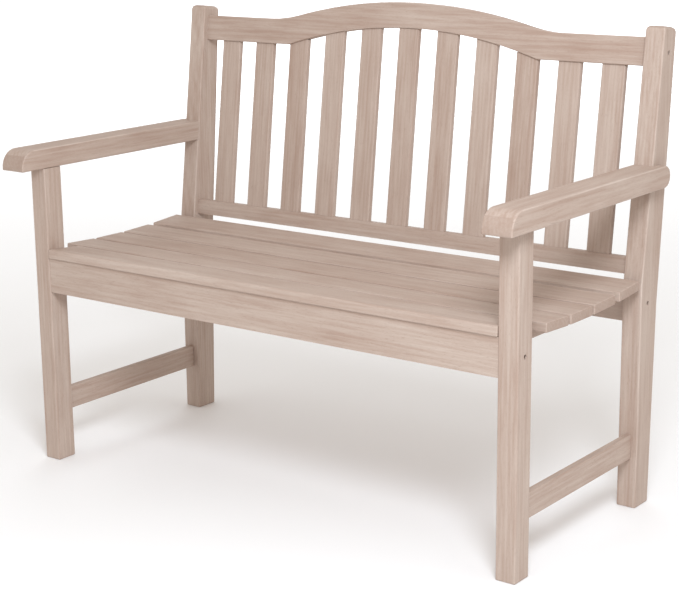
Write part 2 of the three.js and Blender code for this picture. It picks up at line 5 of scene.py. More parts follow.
import bmesh
import bpy
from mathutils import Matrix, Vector


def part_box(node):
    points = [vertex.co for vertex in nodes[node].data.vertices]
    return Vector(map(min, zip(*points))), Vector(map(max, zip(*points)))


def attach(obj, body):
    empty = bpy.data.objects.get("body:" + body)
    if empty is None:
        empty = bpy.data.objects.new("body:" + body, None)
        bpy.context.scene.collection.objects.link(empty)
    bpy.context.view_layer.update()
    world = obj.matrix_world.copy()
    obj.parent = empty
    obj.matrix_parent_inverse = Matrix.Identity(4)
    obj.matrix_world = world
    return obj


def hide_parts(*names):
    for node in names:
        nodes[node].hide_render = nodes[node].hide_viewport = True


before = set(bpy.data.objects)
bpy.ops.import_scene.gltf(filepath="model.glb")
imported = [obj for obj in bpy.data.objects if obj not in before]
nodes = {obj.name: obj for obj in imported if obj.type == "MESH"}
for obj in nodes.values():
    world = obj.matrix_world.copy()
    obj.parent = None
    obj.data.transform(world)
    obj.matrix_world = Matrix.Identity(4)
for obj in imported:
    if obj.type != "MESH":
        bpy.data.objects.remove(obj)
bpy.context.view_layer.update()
print("frame loaded:", len(nodes), "nodes")

mm = 0.001
sides = {"left": -1, "right": 1}

# The camera: where it stands and how it is turned
viewpoint = {
    "spot": (1.8602, -2.4334, 1.1207),
    "turn": 37.1,  # degrees round from straight ahead
    "tip": 13.84,  # degrees down
    "roll": -0.66,
    "lens": 88.69,
    "sensor": 36,
    "farthest": 60,
}


def addCamera():
    data = bpy.data.cameras.new("camera")
    data.lens = viewpoint["lens"]
    data.sensor_width = viewpoint["sensor"]
    data.clip_end = viewpoint["farthest"]
    camera = bpy.data.objects.new("camera", data)
    bpy.context.scene.collection.objects.link(camera)
    turn = math.radians(viewpoint["turn"])
    tip = math.radians(viewpoint["tip"])
    roll = math.radians(viewpoint["roll"])
    ahead = Vector((-math.sin(turn) * math.cos(tip), math.cos(turn) * math.cos(tip), -math.sin(tip)))
    level = Vector((math.cos(turn), math.sin(turn), 0))
    up = level.cross(ahead)
    right = math.cos(roll) * level + math.sin(roll) * up
    up = right.cross(ahead)
    for row in range(3):
        camera.matrix_world[row][0] = right[row]
        camera.matrix_world[row][1] = up[row]
        camera.matrix_world[row][2] = -ahead[row]
        camera.matrix_world[row][3] = viewpoint["spot"][row]
    bpy.context.scene.camera = camera


addCamera()
print("camera placed")


# Small shop tools, which every piece below is made with


def deselectAll():
    if bpy.context.mode != "OBJECT":
        bpy.ops.object.mode_set(mode="OBJECT")
    bpy.ops.object.select_all(action="DESELECT")


def takeUp(piece):
    deselectAll()
    piece.select_set(True)
    bpy.context.view_layer.objects.active = piece


def settle():
    bpy.ops.object.transform_apply(location=True, rotation=True, scale=True)
    return bpy.context.active_object


# A squared blank between two corners
def sawBlank(name, low, high):
    low, high = Vector(low), Vector(high)
    deselectAll()
    bpy.ops.mesh.primitive_cube_add(size=1, location=(low + high) / 2, scale=high - low)
    blank = settle()
    blank.name = name
    blank.data.name = name
    return blank


# A round cutter or dowel from one point to another along x, y or z
def turnRod(name, start, end, radius, corners=24):
    start, end = Vector(start), Vector(end)
    along = end - start
    deselectAll()
    bpy.ops.mesh.primitive_cylinder_add(
        vertices=corners,
        radius=radius,
        depth=along.length,
        location=(start + end) / 2,
        rotation=along.to_track_quat("Z", "Y").to_euler(),
    )
    rod = settle()
    rod.name = name
    return rod


def openMesh(piece, kind):
    takeUp(piece)
    bpy.ops.object.mode_set(mode="EDIT")
    bpy.ops.mesh.select_mode(type=kind)
    bpy.ops.mesh.select_all(action="DESELECT")
    return bmesh.from_edit_mesh(piece.data)


# Picks faces and gives the middle of the box round them
def pickFaces(piece, wanted):
    mesh = openMesh(piece, "FACE")
    spots = []
    for face in mesh.faces:
        face.select_set(wanted(face))
        if face.select:
            spots += [vert.co.copy() for vert in face.verts]
    bmesh.update_edit_mesh(piece.data)
    low = Vector([min(spot[axis] for spot in spots) for axis in range(3)])
    high = Vector([max(spot[axis] for spot in spots) for axis in range(3)])
    return (low + high) / 2


def pickVerts(piece, wanted):
    mesh = openMesh(piece, "VERT")
    for vert in mesh.verts:
        vert.select_set(wanted(vert.co))
    mesh.select_flush_mode()
    bmesh.update_edit_mesh(piece.data)


def closeMesh():
    bpy.ops.object.mode_set(mode="OBJECT")


def nearTo(value, target, slack=1e-5):
    return abs(value - target) < slack


# The outermost face or faces towards a direction
def endFace(piece, direction, facing=0.99, slack=1e-4):
    direction = Vector(direction)
    reach = max(vert.co.dot(direction) for vert in piece.data.vertices)

    def wanted(face):
        centre = face.calc_center_median().dot(direction)
        return face.normal.dot(direction) > facing and nearTo(centre, reach, slack)

    return wanted


# Saws a tenon on the end: the shoulders are drawn in, then the cheeks are drawn out
def sawTenon(piece, direction, share, length):
    centre = pickFaces(piece, endFace(piece, direction))
    bpy.ops.mesh.extrude_region_move(TRANSFORM_OT_translate={"value": (0, 0, 0)})
    bpy.ops.transform.resize(value=share, center_override=centre)
    out = Vector(direction) * length
    bpy.ops.mesh.extrude_region_move(TRANSFORM_OT_translate={"value": out})
    closeMesh()


def applyLast(piece, modifier):
    takeUp(piece)
    bpy.ops.object.modifier_apply(modifier=modifier.name)


# Edges flatter than this are no arrises; faces that meet flatter than the second are shaded smooth
arrisAngle = math.radians(32)
smoothAngle = math.radians(35)


# Rounds the arrises. Each job is a test on an edge's two ends and a radius; the first that fits is used
def roundArrises(piece, jobs, segments=3):
    widest = max(radius for _, radius in jobs)
    mesh = openMesh(piece, "EDGE")
    weight = mesh.edges.layers.float.new("bevel_weight_edge")
    for edge in mesh.edges:
        if edge.calc_face_angle(0) < arrisAngle:
            continue
        ends = [vert.co for vert in edge.verts]
        for test, radius in jobs:
            if test(*ends):
                edge[weight] = radius / widest
                break
    bmesh.update_edit_mesh(piece.data)
    closeMesh()
    while len(piece.data.materials) < 2:
        piece.data.materials.append(None)
    bevel = piece.modifiers.new("arrises", "BEVEL")
    bevel.width = widest
    bevel.segments = segments
    bevel.limit_method = "WEIGHT"
    bevel.use_clamp_overlap = False
    bevel.material = 1  # lets markWood find the rounded arrises
    applyLast(piece, bevel)
    piece.data.attributes.remove(piece.data.attributes["bevel_weight_edge"])


def cutAway(piece, cutters):
    deselectAll()
    for cutter in cutters:
        cutter.select_set(True)
    bpy.context.view_layer.objects.active = cutters[0]
    if len(cutters) > 1:
        bpy.ops.object.join()
    tool = cutters[0]
    cut = piece.modifiers.new("cut", "BOOLEAN")
    cut.operation = "DIFFERENCE"
    cut.solver = "EXACT"
    cut.object = tool
    applyLast(piece, cut)
    bpy.data.objects.remove(tool)


# Another of the same, with a mesh of its own
def copyPiece(piece, name, shift=(0, 0, 0)):
    takeUp(piece)
    bpy.ops.object.duplicate(linked=False)
    twin = bpy.context.active_object
    twin.name = name
    twin.data.name = name
    twin.location = shift
    return settle()


def turnPiece(piece, angle, centre):
    takeUp(piece)
    bpy.ops.object.mode_set(mode="EDIT")
    bpy.ops.mesh.select_all(action="SELECT")
    bpy.ops.transform.rotate(value=angle, orient_axis="X", center_override=centre)
    closeMesh()


# Each board is cut from its own place in the wood
boardDice = random.Random(41)
boards = []

# Grain runs along this axis of the piece; the other two follow in turn
grainAxes = {"x": (0, 1, 2), "y": (1, 0, 2), "z": (2, 0, 1)}

grainMarks = {
    "shift": (2, 40),  # metres from one board's place in the wood to another's
    "acrossGrain": 0.15,  # an arris that faces along the grain more than this isn't painted paler, neither as wear nor as painted highlight
    "endGrain": 0.75,  # a face that faces along the grain more than this shows end grain
}


# Notes on each corner of the mesh what the wood needs to know: where it is in its own board,
# how dark the board is, which arrises get the paler wear and painted highlight, and whether end grain shows
def markWood(piece, grain, rake=0.0):
    mesh = piece.data
    order = grainAxes[grain]
    shift = [boardDice.uniform(*grainMarks["shift"]) for _ in range(3)]
    shade = boardDice.uniform(-1, 1)
    wearAndHighlight = [0.0] * len(mesh.vertices)
    flat = [False] * len(mesh.vertices)
    for face in mesh.polygons:
        for index in face.vertices:
            if face.material_index == 0:
                flat[index] = True
            else:
                wearAndHighlight[index] = 1.0
    along = Vector((0, 0, 0))
    along[order[0]] = 1
    cosine, sine = math.cos(rake), math.sin(rake)
    along = Vector((along.x, along.y * cosine + along.z * sine, -along.y * sine + along.z * cosine))
    squareness = [abs(face.normal.dot(along)) for face in mesh.polygons]
    for face, square in zip(mesh.polygons, squareness):
        # an arris across the end grain keeps its colour
        if face.material_index == 1 and square > grainMarks["acrossGrain"]:
            for index in face.vertices:
                wearAndHighlight[index] = 0.0
    inBoard = []
    for vert in mesh.vertices:
        x, y, z = vert.co
        own = (x, y * cosine - z * sine, y * sine + z * cosine)
        inBoard.extend(own[order[axis]] + shift[axis] for axis in range(3))
    marks = {
        "arris": [0.0 if flat[index] else wearAndHighlight[index] for index in range(len(wearAndHighlight))],
        "board": [shade] * len(wearAndHighlight),
        "endGrain": [1.0 if square > grainMarks["endGrain"] else 0.0 for square in squareness],
    }
    for face in mesh.polygons:
        face.material_index = 0
    # each is filled as soon as it is made: making the next one moves the earlier ones in memory
    mesh.attributes.new("grain", "FLOAT_VECTOR", "POINT").data.foreach_set("vector", inBoard)
    for name, values in marks.items():
        domain = "FACE" if name == "endGrain" else "POINT"
        mesh.attributes.new(name, "FLOAT", domain).data.foreach_set("value", values)


def finishWood(piece, node, grain, rake=0.0):
    markWood(piece, grain, rake)
    takeUp(piece)
    bpy.ops.object.shade_smooth_by_angle(angle=smoothAngle)
    level = piece.modifiers.new("normals", "WEIGHTED_NORMAL")
    level.keep_sharp = True
    applyLast(piece, level)
    piece.data.materials.clear()
    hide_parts(node)
    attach(piece, "root")
    boards.append(piece)


# A stepped drill for a recessed bolt: from the outer face inwards
boltDrill = {
    "recess": 7.3 * mm,
    "recessRadius": 4.2 * mm,
    "shankRadius": 2.8 * mm,
    "depth": 80 * mm,
    "lip": 0.5 * mm,
    "armHead": 4.3 * mm,
    "armRecess": 20 * mm,
    "overrun": 1 * mm,
}

# The bit that bores a rail from behind for a barrel nut
barrelBit = {"radius": 5.3 * mm, "depth": 7.8 * mm}


def stepDrill(outer, inward):
    outer, inward = Vector(outer), Vector(inward)
    drill = turnRod("drill", outer, outer + inward * boltDrill["recess"], boltDrill["recessRadius"])
    centre = pickFaces(drill, endFace(drill, inward))
    narrow = boltDrill["shankRadius"] / boltDrill["recessRadius"]
    bpy.ops.mesh.extrude_region_move(TRANSFORM_OT_translate={"value": (0, 0, 0)})
    bpy.ops.transform.resize(value=(narrow, narrow, narrow), center_override=centre)
    deeper = inward * (boltDrill["depth"] - boltDrill["recess"])
    bpy.ops.mesh.extrude_region_move(TRANSFORM_OT_translate={"value": deeper})
    closeMesh()
    centre = pickFaces(drill, endFace(drill, -inward))
    wide = 1 + 2 * boltDrill["lip"] / boltDrill["recessRadius"]
    bpy.ops.mesh.extrude_region_move(TRANSFORM_OT_translate={"value": -inward * boltDrill["lip"]})
    bpy.ops.transform.resize(value=(wide, wide, wide), center_override=centre)
    closeMesh()
    return drill


def drillBarrel(nut, railBack):
    start = (nut.x, nut.y - barrelBit["depth"], nut.z)
    end = (nut.x, railBack + boltDrill["overrun"], nut.z)
    return turnRod("bit", start, end, barrelBit["radius"])


def middleOf(node):
    low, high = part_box(node)
    return (low + high) / 2


# Sizes the joints share
joint = {
    "gap": 0.3 * mm,
    "tenon": 8 * mm,
    "shoulder": 7 * mm,
    "longTenon": 18 * mm,
    "stub": 9 * mm,
    "housing": 5 * mm,
}


# A cutter as big as its tenon, with the gap all round
def mortiseFor(low, high):
    gap = Vector([joint["gap"]] * 3)
    return sawBlank("mortise", Vector(low) - gap, Vector(high) + gap)


# The back frame leans about the line where the posts bend
backFrame = {
    "lean": math.radians(7.2),
    "bendHeight": 418 * mm,
    "setback": 12 * mm,
    "railDepth": 21 * mm,
    "slatWidth": 47 * mm,
    "slatThickness": 12 * mm,
    "slatHousing": 12 * mm,
}
backSlatNumbers = range(1, 12)
bendLine = Vector((0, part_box("back_post_right")[0].y, backFrame["bendHeight"]))


def upTheRake(point):
    up = Vector((0, math.sin(backFrame["lean"]), math.cos(backFrame["lean"])))
    return (Vector(point) - bendLine).dot(up)


def lean(piece):
    turnPiece(piece, backFrame["lean"], bendLine)


# Front legs, tenoned up into the arms
frontLeg = {"arris": 2.6 * mm, "foot": 2.5 * mm, "tenonSide": 22 * mm}


def makeFrontLeg(sideName):
    side = sides[sideName]
    low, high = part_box("front_leg_" + sideName)
    top = high.z - frontLeg["tenonSide"]
    leg = sawBlank("frontLeg." + sideName, low, (high.x, high.y, top))

    def isFoot(a, b):
        return nearTo(a.z, low.z) and nearTo(b.z, low.z)

    def isUpright(a, b):
        return not nearTo(a.z, b.z)

    roundArrises(leg, [(isFoot, frontLeg["foot"]), (isUpright, frontLeg["arris"])])
    width, depth = high.x - low.x, high.y - low.y
    share = (frontLeg["tenonSide"] / width, frontLeg["tenonSide"] / depth, 1)
    sawTenon(leg, (0, 0, 1), share, frontLeg["tenonSide"])
    half = joint["tenon"] / 2
    stretcherLow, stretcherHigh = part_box("side_stretcher_" + sideName)
    stretcherX = middleOf("side_stretcher_" + sideName).x
    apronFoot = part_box("front_apron")[0].z + 2 * joint["shoulder"]
    apronY = middleOf("front_apron").y
    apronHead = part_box("back_seat_rail")[1].z - 2 * joint["shoulder"]
    inner = low.x if side > 0 else high.x
    cuts = [
        mortiseFor(
            (stretcherX - half, stretcherLow.y, stretcherLow.z + joint["shoulder"]),
            (stretcherX + half, high.y, stretcherHigh.z - joint["shoulder"]),
        ),
        mortiseFor(
            (inner - joint["stub"], apronY - half, apronFoot),
            (inner + joint["stub"], apronY + half, apronHead),
        ),
    ]
    for cutter in cuts:
        cutAway(leg, [cutter])
    bolt = middleOf("apron_bolt_" + sideName)
    outer = high.x if side > 0 else low.x
    cutAway(leg, [stepDrill((outer, bolt.y, bolt.z), (-side, 0, 0))])
    finishWood(leg, "front_leg_" + sideName, "z")


for sideName in sides:
    makeFrontLeg(sideName)
print("front legs made")


# Back posts: upright to the bend, then raked
backPost = {
    "footDepth": 50 * mm,
    "bendDepth": 61 * mm,
    "bendBackHeight": 379 * mm,
    "rakedDepth": 45.2 * mm,
    "crownDepth": 44.7 * mm,
    "rakedLength": 458.3 * mm,
    "arris": 2.6 * mm,
    "foot": 2.5 * mm,
    "crown": 8.5 * mm,
    "waste": 60 * mm,  # drawn out past the crown and then sawn off
}


def makeBackPost(sideName):
    side = sides[sideName]
    node = "back_post_" + sideName
    low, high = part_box(node)
    angle = backFrame["lean"]
    up = Vector((0, math.sin(angle), math.cos(angle)))
    footBack = low.y + backPost["footDepth"]
    post = sawBlank("backPost." + sideName, low, (high.x, footBack, bendLine.z))
    # the post is deepest at the bend, whose back lies a little lower than its front
    backward = Vector((0, math.cos(angle), -math.sin(angle)))
    bend = (0, backPost["bendDepth"] - backPost["footDepth"], backPost["bendBackHeight"] - bendLine.z)
    pickVerts(post, lambda at: nearTo(at.z, bendLine.z) and nearTo(at.y, footBack))
    bpy.ops.transform.translate(value=bend)
    closeMesh()
    pickFaces(post, lambda face: face.normal.z > 0.5)
    raked = up * (backPost["rakedLength"] + backPost["waste"])
    bpy.ops.mesh.extrude_region_move(TRANSFORM_OT_translate={"value": raked})
    closeMesh()
    takeUp(post)
    bpy.ops.object.mode_set(mode="EDIT")
    bpy.ops.mesh.select_all(action="SELECT")
    crownPoint = bendLine + up * backPost["rakedLength"]
    bpy.ops.mesh.bisect(plane_co=crownPoint, plane_no=up, use_fill=True, clear_outer=True)
    closeMesh()

    def atCrown(at):
        return nearTo(upTheRake(at), backPost["rakedLength"], 1e-4)

    def depthAt(at):
        return (at - crownPoint).dot(backward)

    # it tapers from the bend to the crown
    tooDeep = max(depthAt(vert.co) for vert in post.data.vertices if atCrown(vert.co))
    pickVerts(post, lambda at: atCrown(at) and depthAt(at) > backPost["crownDepth"] / 2)
    bpy.ops.transform.translate(value=backward * (backPost["crownDepth"] - tooDeep))
    closeMesh()

    def isFoot(a, b):
        return nearTo(a.z, low.z) and nearTo(b.z, low.z)

    def isCrown(a, b):
        return atCrown(a) and atCrown(b)

    roundArrises(
        post,
        [(isFoot, backPost["foot"]), (isCrown, backPost["crown"]), (lambda a, b: True, backPost["arris"])],
        segments=5,
    )
    half = joint["tenon"] / 2
    shoulder = joint["shoulder"]
    inner = low.x if side > 0 else high.x
    outer = high.x if side > 0 else low.x
    stretcherLow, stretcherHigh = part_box("side_stretcher_" + sideName)
    stretcherX = middleOf("side_stretcher_" + sideName).x
    railLow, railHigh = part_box("back_seat_rail")
    railY = middleOf("back_seat_rail").y
    upright = [
        mortiseFor(
            (stretcherX - half, low.y, stretcherLow.z + shoulder),
            (stretcherX + half, stretcherHigh.y, stretcherHigh.z - shoulder),
        ),
        mortiseFor(
            (inner - joint["stub"], railY - half, railLow.z + 2 * shoulder),
            (inner + joint["stub"], railY + half, railHigh.z - 2 * shoulder),
        ),
    ]
    leaning = []
    middle = bendLine.y + backPost["rakedDepth"] / 2
    for rail, reach in ((lowerRail, joint["longTenon"]), (topRail, joint["stub"])):
        foot = bendLine.z + rail["bottom"] + shoulder
        head = bendLine.z + rail["bottom"] + rail["height"] - shoulder
        leaning.append(mortiseFor(
            (inner - reach, middle - half, foot),
            (inner + reach, middle + half, head),
        ))
    for cutter in leaning:
        lean(cutter)
    for cutter in upright + leaning:
        cutAway(post, [cutter])
    for bolt in ("seat_rail_bolt_", "top_rail_bolt_"):
        spot = middleOf(bolt + sideName)
        cutAway(post, [stepDrill((outer, spot.y, spot.z), (-side, 0, 0))])
    boltLow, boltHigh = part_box("arm_bolt_" + sideName)
    bolt = middleOf("arm_bolt_" + sideName)
    for front, back, radius in (
        (boltHigh.y - boltDrill["armHead"], boltHigh.y + boltDrill["armRecess"], boltDrill["recessRadius"]),
        (boltLow.y - joint["gap"], boltHigh.y + boltDrill["overrun"], boltDrill["shankRadius"]),
    ):
        cutAway(post, [turnRod("bit", (bolt.x, front, bolt.z), (bolt.x, back, bolt.z), radius)])
    finishWood(post, node, "z")


# Back rails: heights are measured up the rake from the bend
lowerRail = {"bottom": 17.8 * mm, "height": 30.5 * mm, "arris": 2 * mm}

topRail = {
    "bottom": 387.3 * mm,
    "height": 51 * mm,
    "archRise": 43.5 * mm,
    "crownRadius": 1050 * mm,
    "crownReach": 340 * mm,
    "undersideRise": 45 * mm,
    "undersideReach": 292 * mm,
    "stations": 30,
    "closest": 4 * mm,  # a station nearer than this to the end of the underside's curve is left out
    "arris": 2 * mm,
}


# A broad crown, then a short reverse curve into the flat ends
def crownHeight(x):
    slope = 2 * topRail["archRise"] / topRail["crownReach"]
    turn = slope * topRail["crownRadius"]
    distance = abs(x)
    if distance >= topRail["crownReach"]:
        return 0.0
    if distance <= turn:
        return topRail["archRise"] - distance ** 2 / (2 * topRail["crownRadius"])
    left = topRail["crownReach"] - distance
    return slope * left ** 2 / (2 * (topRail["crownReach"] - turn))


def undersideHeight(x):
    share = 1 - (x / topRail["undersideReach"]) ** 2
    return topRail["undersideRise"] * max(0.0, share)


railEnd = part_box("back_seat_rail")[1].x - joint["stub"]
railFront = bendLine.y + backFrame["setback"]
railBack = railFront + backFrame["railDepth"]
railMiddle = (railFront + railBack) / 2


def slatMortises():
    cutters = []
    half = backFrame["slatWidth"] / 2
    thick = backFrame["slatThickness"] / 2
    for number in backSlatNumbers:
        low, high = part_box("back_slat_%02d" % number)
        x = (low.x + high.x) / 2
        foot, head = slatEnds(number)
        cutters.append(mortiseFor(
            (x - half, railMiddle - thick, bendLine.z + foot),
            (x + half, railMiddle + thick, bendLine.z + head),
        ))
    return cutters


# The two ends of a back slat, up the rake
def slatEnds(number):
    low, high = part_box("back_slat_%02d" % number)
    angle = backFrame["lean"]
    length = (high.z - low.z - backFrame["slatThickness"] * math.sin(angle)) / math.cos(angle)
    foot = lowerRail["bottom"] + lowerRail["height"] - backFrame["slatHousing"]
    return foot, foot + length


def alongRail(a, b):
    return not (nearTo(abs(a.x), railEnd) and nearTo(abs(b.x), railEnd))


def makeLowerRail():
    foot = bendLine.z + lowerRail["bottom"]
    rail = sawBlank("lowerBackRail", (-railEnd, railFront, foot),
                    (railEnd, railBack, foot + lowerRail["height"]))
    roundArrises(rail, [(alongRail, lowerRail["arris"])])
    share = (1, joint["tenon"] / backFrame["railDepth"],
             1 - 2 * joint["shoulder"] / lowerRail["height"])
    for side in (-1, 1):
        sawTenon(rail, (side, 0, 0), share, joint["longTenon"])
    cutAway(rail, slatMortises())
    lean(rail)
    finishWood(rail, "lower_back_rail", "x")


def makeTopRail():
    foot = bendLine.z + topRail["bottom"]
    head = foot + topRail["height"]
    rail = sawBlank("topRail", (-railEnd, railFront, foot), (-topRail["crownReach"], railBack, head))
    # drawn out station by station so that both edges follow their curves
    reach = topRail["crownReach"]
    lower = topRail["undersideReach"]
    count = topRail["stations"]
    stops = [-reach + 2 * reach * i / count for i in range(1, count + 1)]
    stops = sorted(stop for stop in stops if abs(abs(stop) - lower) > topRail["closest"])
    stops = sorted(stops + [-lower, lower, railEnd])
    here = -reach
    for stop in stops:
        pickFaces(rail, endFace(rail, (1, 0, 0)))
        step = Vector((stop - here, 0, 0))
        bpy.ops.mesh.extrude_region_move(TRANSFORM_OT_translate={"value": step})
        closeMesh()
        for level, change in (
            (foot + undersideHeight(here), undersideHeight(stop) - undersideHeight(here)),
            (head + crownHeight(here), crownHeight(stop) - crownHeight(here)),
        ):
            pickVerts(rail, lambda at: nearTo(at.x, stop) and nearTo(at.z, level))
            bpy.ops.transform.translate(value=(0, 0, change))
            closeMesh()
        here = stop
    roundArrises(rail, [(alongRail, topRail["arris"])])
    share = (1, joint["tenon"] / backFrame["railDepth"],
             1 - 2 * joint["shoulder"] / topRail["height"])
    for side in (-1, 1):
        sawTenon(rail, (side, 0, 0), share, joint["stub"])
    cutAway(rail, slatMortises())
    boltUp = bendLine.z + topRail["bottom"] + topRail["height"] / 2
    for sideName, side in sides.items():
        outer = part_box("back_post_right")[1].x * side
        cutAway(rail, [stepDrill((outer, railMiddle, boltUp), (-side, 0, 0))])
        nutX = middleOf("top_rail_barrel_nut_" + sideName).x
        cutAway(rail, [drillBarrel(Vector((nutX, railMiddle, boltUp)), railBack)])
    lean(rail)
    finishWood(rail, "top_rail", "x")


makeLowerRail()
makeTopRail()
for sideName in sides:
    makeBackPost(sideName)
print("back posts and rails made")


# Back slats, all from one pattern
backSlat = {"arris": 2.6 * mm}


def makeBackSlats():
    half = backFrame["slatWidth"] / 2
    thick = backFrame["slatThickness"] / 2
    foot, head = slatEnds(1)
    pattern = sawBlank("slatPattern", (-half, railMiddle - thick, bendLine.z + foot),
                       (half, railMiddle + thick, bendLine.z + head))
    roundArrises(pattern, [(lambda a, b: not nearTo(a.z, b.z), backSlat["arris"])])
    for number in backSlatNumbers:
        node = "back_slat_%02d" % number
        slat = copyPiece(pattern, "backSlat.%02d" % number, (middleOf(node).x, 0, 0))
        longer = slatEnds(number)[1] - head
        pickVerts(slat, lambda at: nearTo(at.z, bendLine.z + head))
        bpy.ops.transform.translate(value=(0, 0, longer))
        closeMesh()
        lean(slat)
        finishWood(slat, node, "z", backFrame["lean"])
    bpy.data.objects.remove(pattern)


makeBackSlats()
print("back slats made")


# Arms, notched round the back posts
arm = {
    "noseRound": 34 * mm,
    "backRound": 19.3 * mm,
    "arris": 2.6 * mm,
    "segments": 10,
    # the notch is sawn between these heights above the bend and out past the arm's back end
    "notch": (150 * mm, 350 * mm),
    "pastBack": 100 * mm,
    "pastUnderside": 10 * mm,
}


def makeArm(sideName):
    node = "arm_" + sideName
    low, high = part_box(node)
    blank = sawBlank("arm." + sideName, low, high)

    def isNose(a, b):
        return all(nearTo(at.y, low.y) and nearTo(at.z, high.z) for at in (a, b))

    def isBack(a, b):
        return nearTo(a.y, high.y) and nearTo(b.y, high.y) and nearTo(a.z, b.z)

    roundArrises(blank, [(isNose, arm["noseRound"]), (isBack, arm["backRound"])], segments=arm["segments"])
    for face in blank.data.polygons:
        face.material_index = 0
    roundArrises(blank, [(lambda a, b: True, arm["arris"])])
    postLow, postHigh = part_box("back_post_" + sideName)
    gap = joint["gap"]
    foot, head = arm["notch"]
    notch = sawBlank("notch", (postLow.x - gap, bendLine.y - gap, bendLine.z + foot),
                     (postHigh.x + gap, high.y + arm["pastBack"], bendLine.z + head))
    lean(notch)
    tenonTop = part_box("front_leg_" + sideName)[1].z
    tenonMid = middleOf("front_leg_" + sideName)
    half = frontLeg["tenonSide"] / 2
    mortise = mortiseFor((tenonMid.x - half, tenonMid.y - half, low.z - arm["pastUnderside"]),
                         (tenonMid.x + half, tenonMid.y + half, tenonTop))
    for cutter in (notch, mortise):
        cutAway(blank, [cutter])
    boltLow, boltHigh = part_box("arm_bolt_" + sideName)
    bolt = middleOf("arm_bolt_" + sideName)
    cutAway(blank, [turnRod("bit", (bolt.x, boltLow.y - gap, bolt.z), (bolt.x, boltHigh.y, bolt.z),
                            boltDrill["shankRadius"])])
    finishWood(blank, node, "y")


for sideName in sides:
    makeArm(sideName)
print("arms made")


# Side stretchers
stretcher = {"arris": 2 * mm}


def makeStretcher(sideName):
    node = "side_stretcher_" + sideName
    low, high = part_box(node)
    front = low.y + joint["longTenon"]
    back = high.y - joint["longTenon"]
    rail = sawBlank("sideStretcher." + sideName, (low.x, front + joint["gap"], low.z),
                    (high.x, back - joint["gap"], high.z))
    roundArrises(rail, [(lambda a, b: not nearTo(a.y, b.y), stretcher["arris"])])
    share = (joint["tenon"] / (high.x - low.x), 1, 1 - 2 * joint["shoulder"] / (high.z - low.z))
    for side in (-1, 1):
        sawTenon(rail, (0, side, 0), share, joint["longTenon"] + joint["gap"])
    finishWood(rail, node, "y")


for sideName in sides:
    makeStretcher(sideName)
print("stretchers made")


# Seat slats, laid round a shallow dish
seat = {
    "dishRadius": 2000 * mm,
    "lowestY": -19.632 * mm,
    "thickness": 18 * mm,
    "depth": 74 * mm,
    "firstDepth": 81 * mm,
    "arris": 2.4 * mm,
    "frontRound": 4 * mm,
}
seatSlatNumbers = range(1, 6)

# The drill for a screw: its head, then how far each step rises and how wide it ends
screwBit = {
    "head": 3.9 * mm,
    "rim": 0.1 * mm,
    "steps": ((3 * mm, 2.1 * mm), (26 * mm, 2.1 * mm), (5 * mm, 0.4 * mm)),
    "corners": 12,
}
bearers = ("left", "centre", "right")


# A countersunk drill, from the underside of a bearer up into the slat
def screwDrill(node):
    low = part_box(node)[0]
    mid = middleOf(node)
    start = (mid.x, mid.y, low.z - joint["gap"])
    end = (mid.x, mid.y, low.z + screwBit["rim"])
    drill = turnRod("drill", start, end, screwBit["head"], screwBit["corners"])
    now = screwBit["head"]
    for rise, radius in screwBit["steps"]:
        centre = pickFaces(drill, endFace(drill, (0, 0, 1))) + Vector((0, 0, rise))
        bpy.ops.mesh.extrude_region_move(TRANSFORM_OT_translate={"value": (0, 0, rise)})
        share = radius / now
        bpy.ops.transform.resize(value=(share, share, 1), center_override=centre)
        closeMesh()
        now = radius
    return drill


def slatTilt(number):
    middle = middleOf("seat_slat_%d" % number)
    return (middle.y - seat["lowestY"]) / (seat["dishRadius"] + seat["thickness"] / 2)


def makeSeatSlat(number):
    node = "seat_slat_%d" % number
    low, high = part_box(node)
    centre = (low + high) / 2
    depth = seat["firstDepth"] if number == 1 else seat["depth"]
    half = Vector((high.x, depth / 2, seat["thickness"] / 2))
    slat = sawBlank("seatSlat.%d" % number, centre - half, centre + half)
    front, top = (centre - half).y, (centre + half).z

    def isFrontTop(a, b):
        return number == 1 and all(nearTo(at.y, front) and nearTo(at.z, top) for at in (a, b))

    roundArrises(slat, [(isFrontTop, seat["frontRound"]), (lambda a, b: True, seat["arris"])])
    turnPiece(slat, -slatTilt(number), centre)
    cutAway(slat, [screwDrill("slat_screw_%s_%d" % (name, number)) for name in bearers])
    finishWood(slat, node, "x")


for number in seatSlatNumbers:
    makeSeatSlat(number)
print("seat slats made")


# Rails and bearers under the seat
seatRails = {"arris": 1.8 * mm, "aboveHousing": 30 * mm}


# Where the bearers are let into a rail's inner face
def housings(inner):
    cutters = []
    gap = joint["gap"]
    for name in bearers:
        low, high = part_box("seat_bearer_" + name)
        near = inner - joint["housing"] - gap
        far = inner + joint["housing"] + gap
        top = high.z + seatRails["aboveHousing"]
        cutters.append(sawBlank("housing", (low.x - gap, near, low.z - gap), (high.x + gap, far, top)))
    return cutters


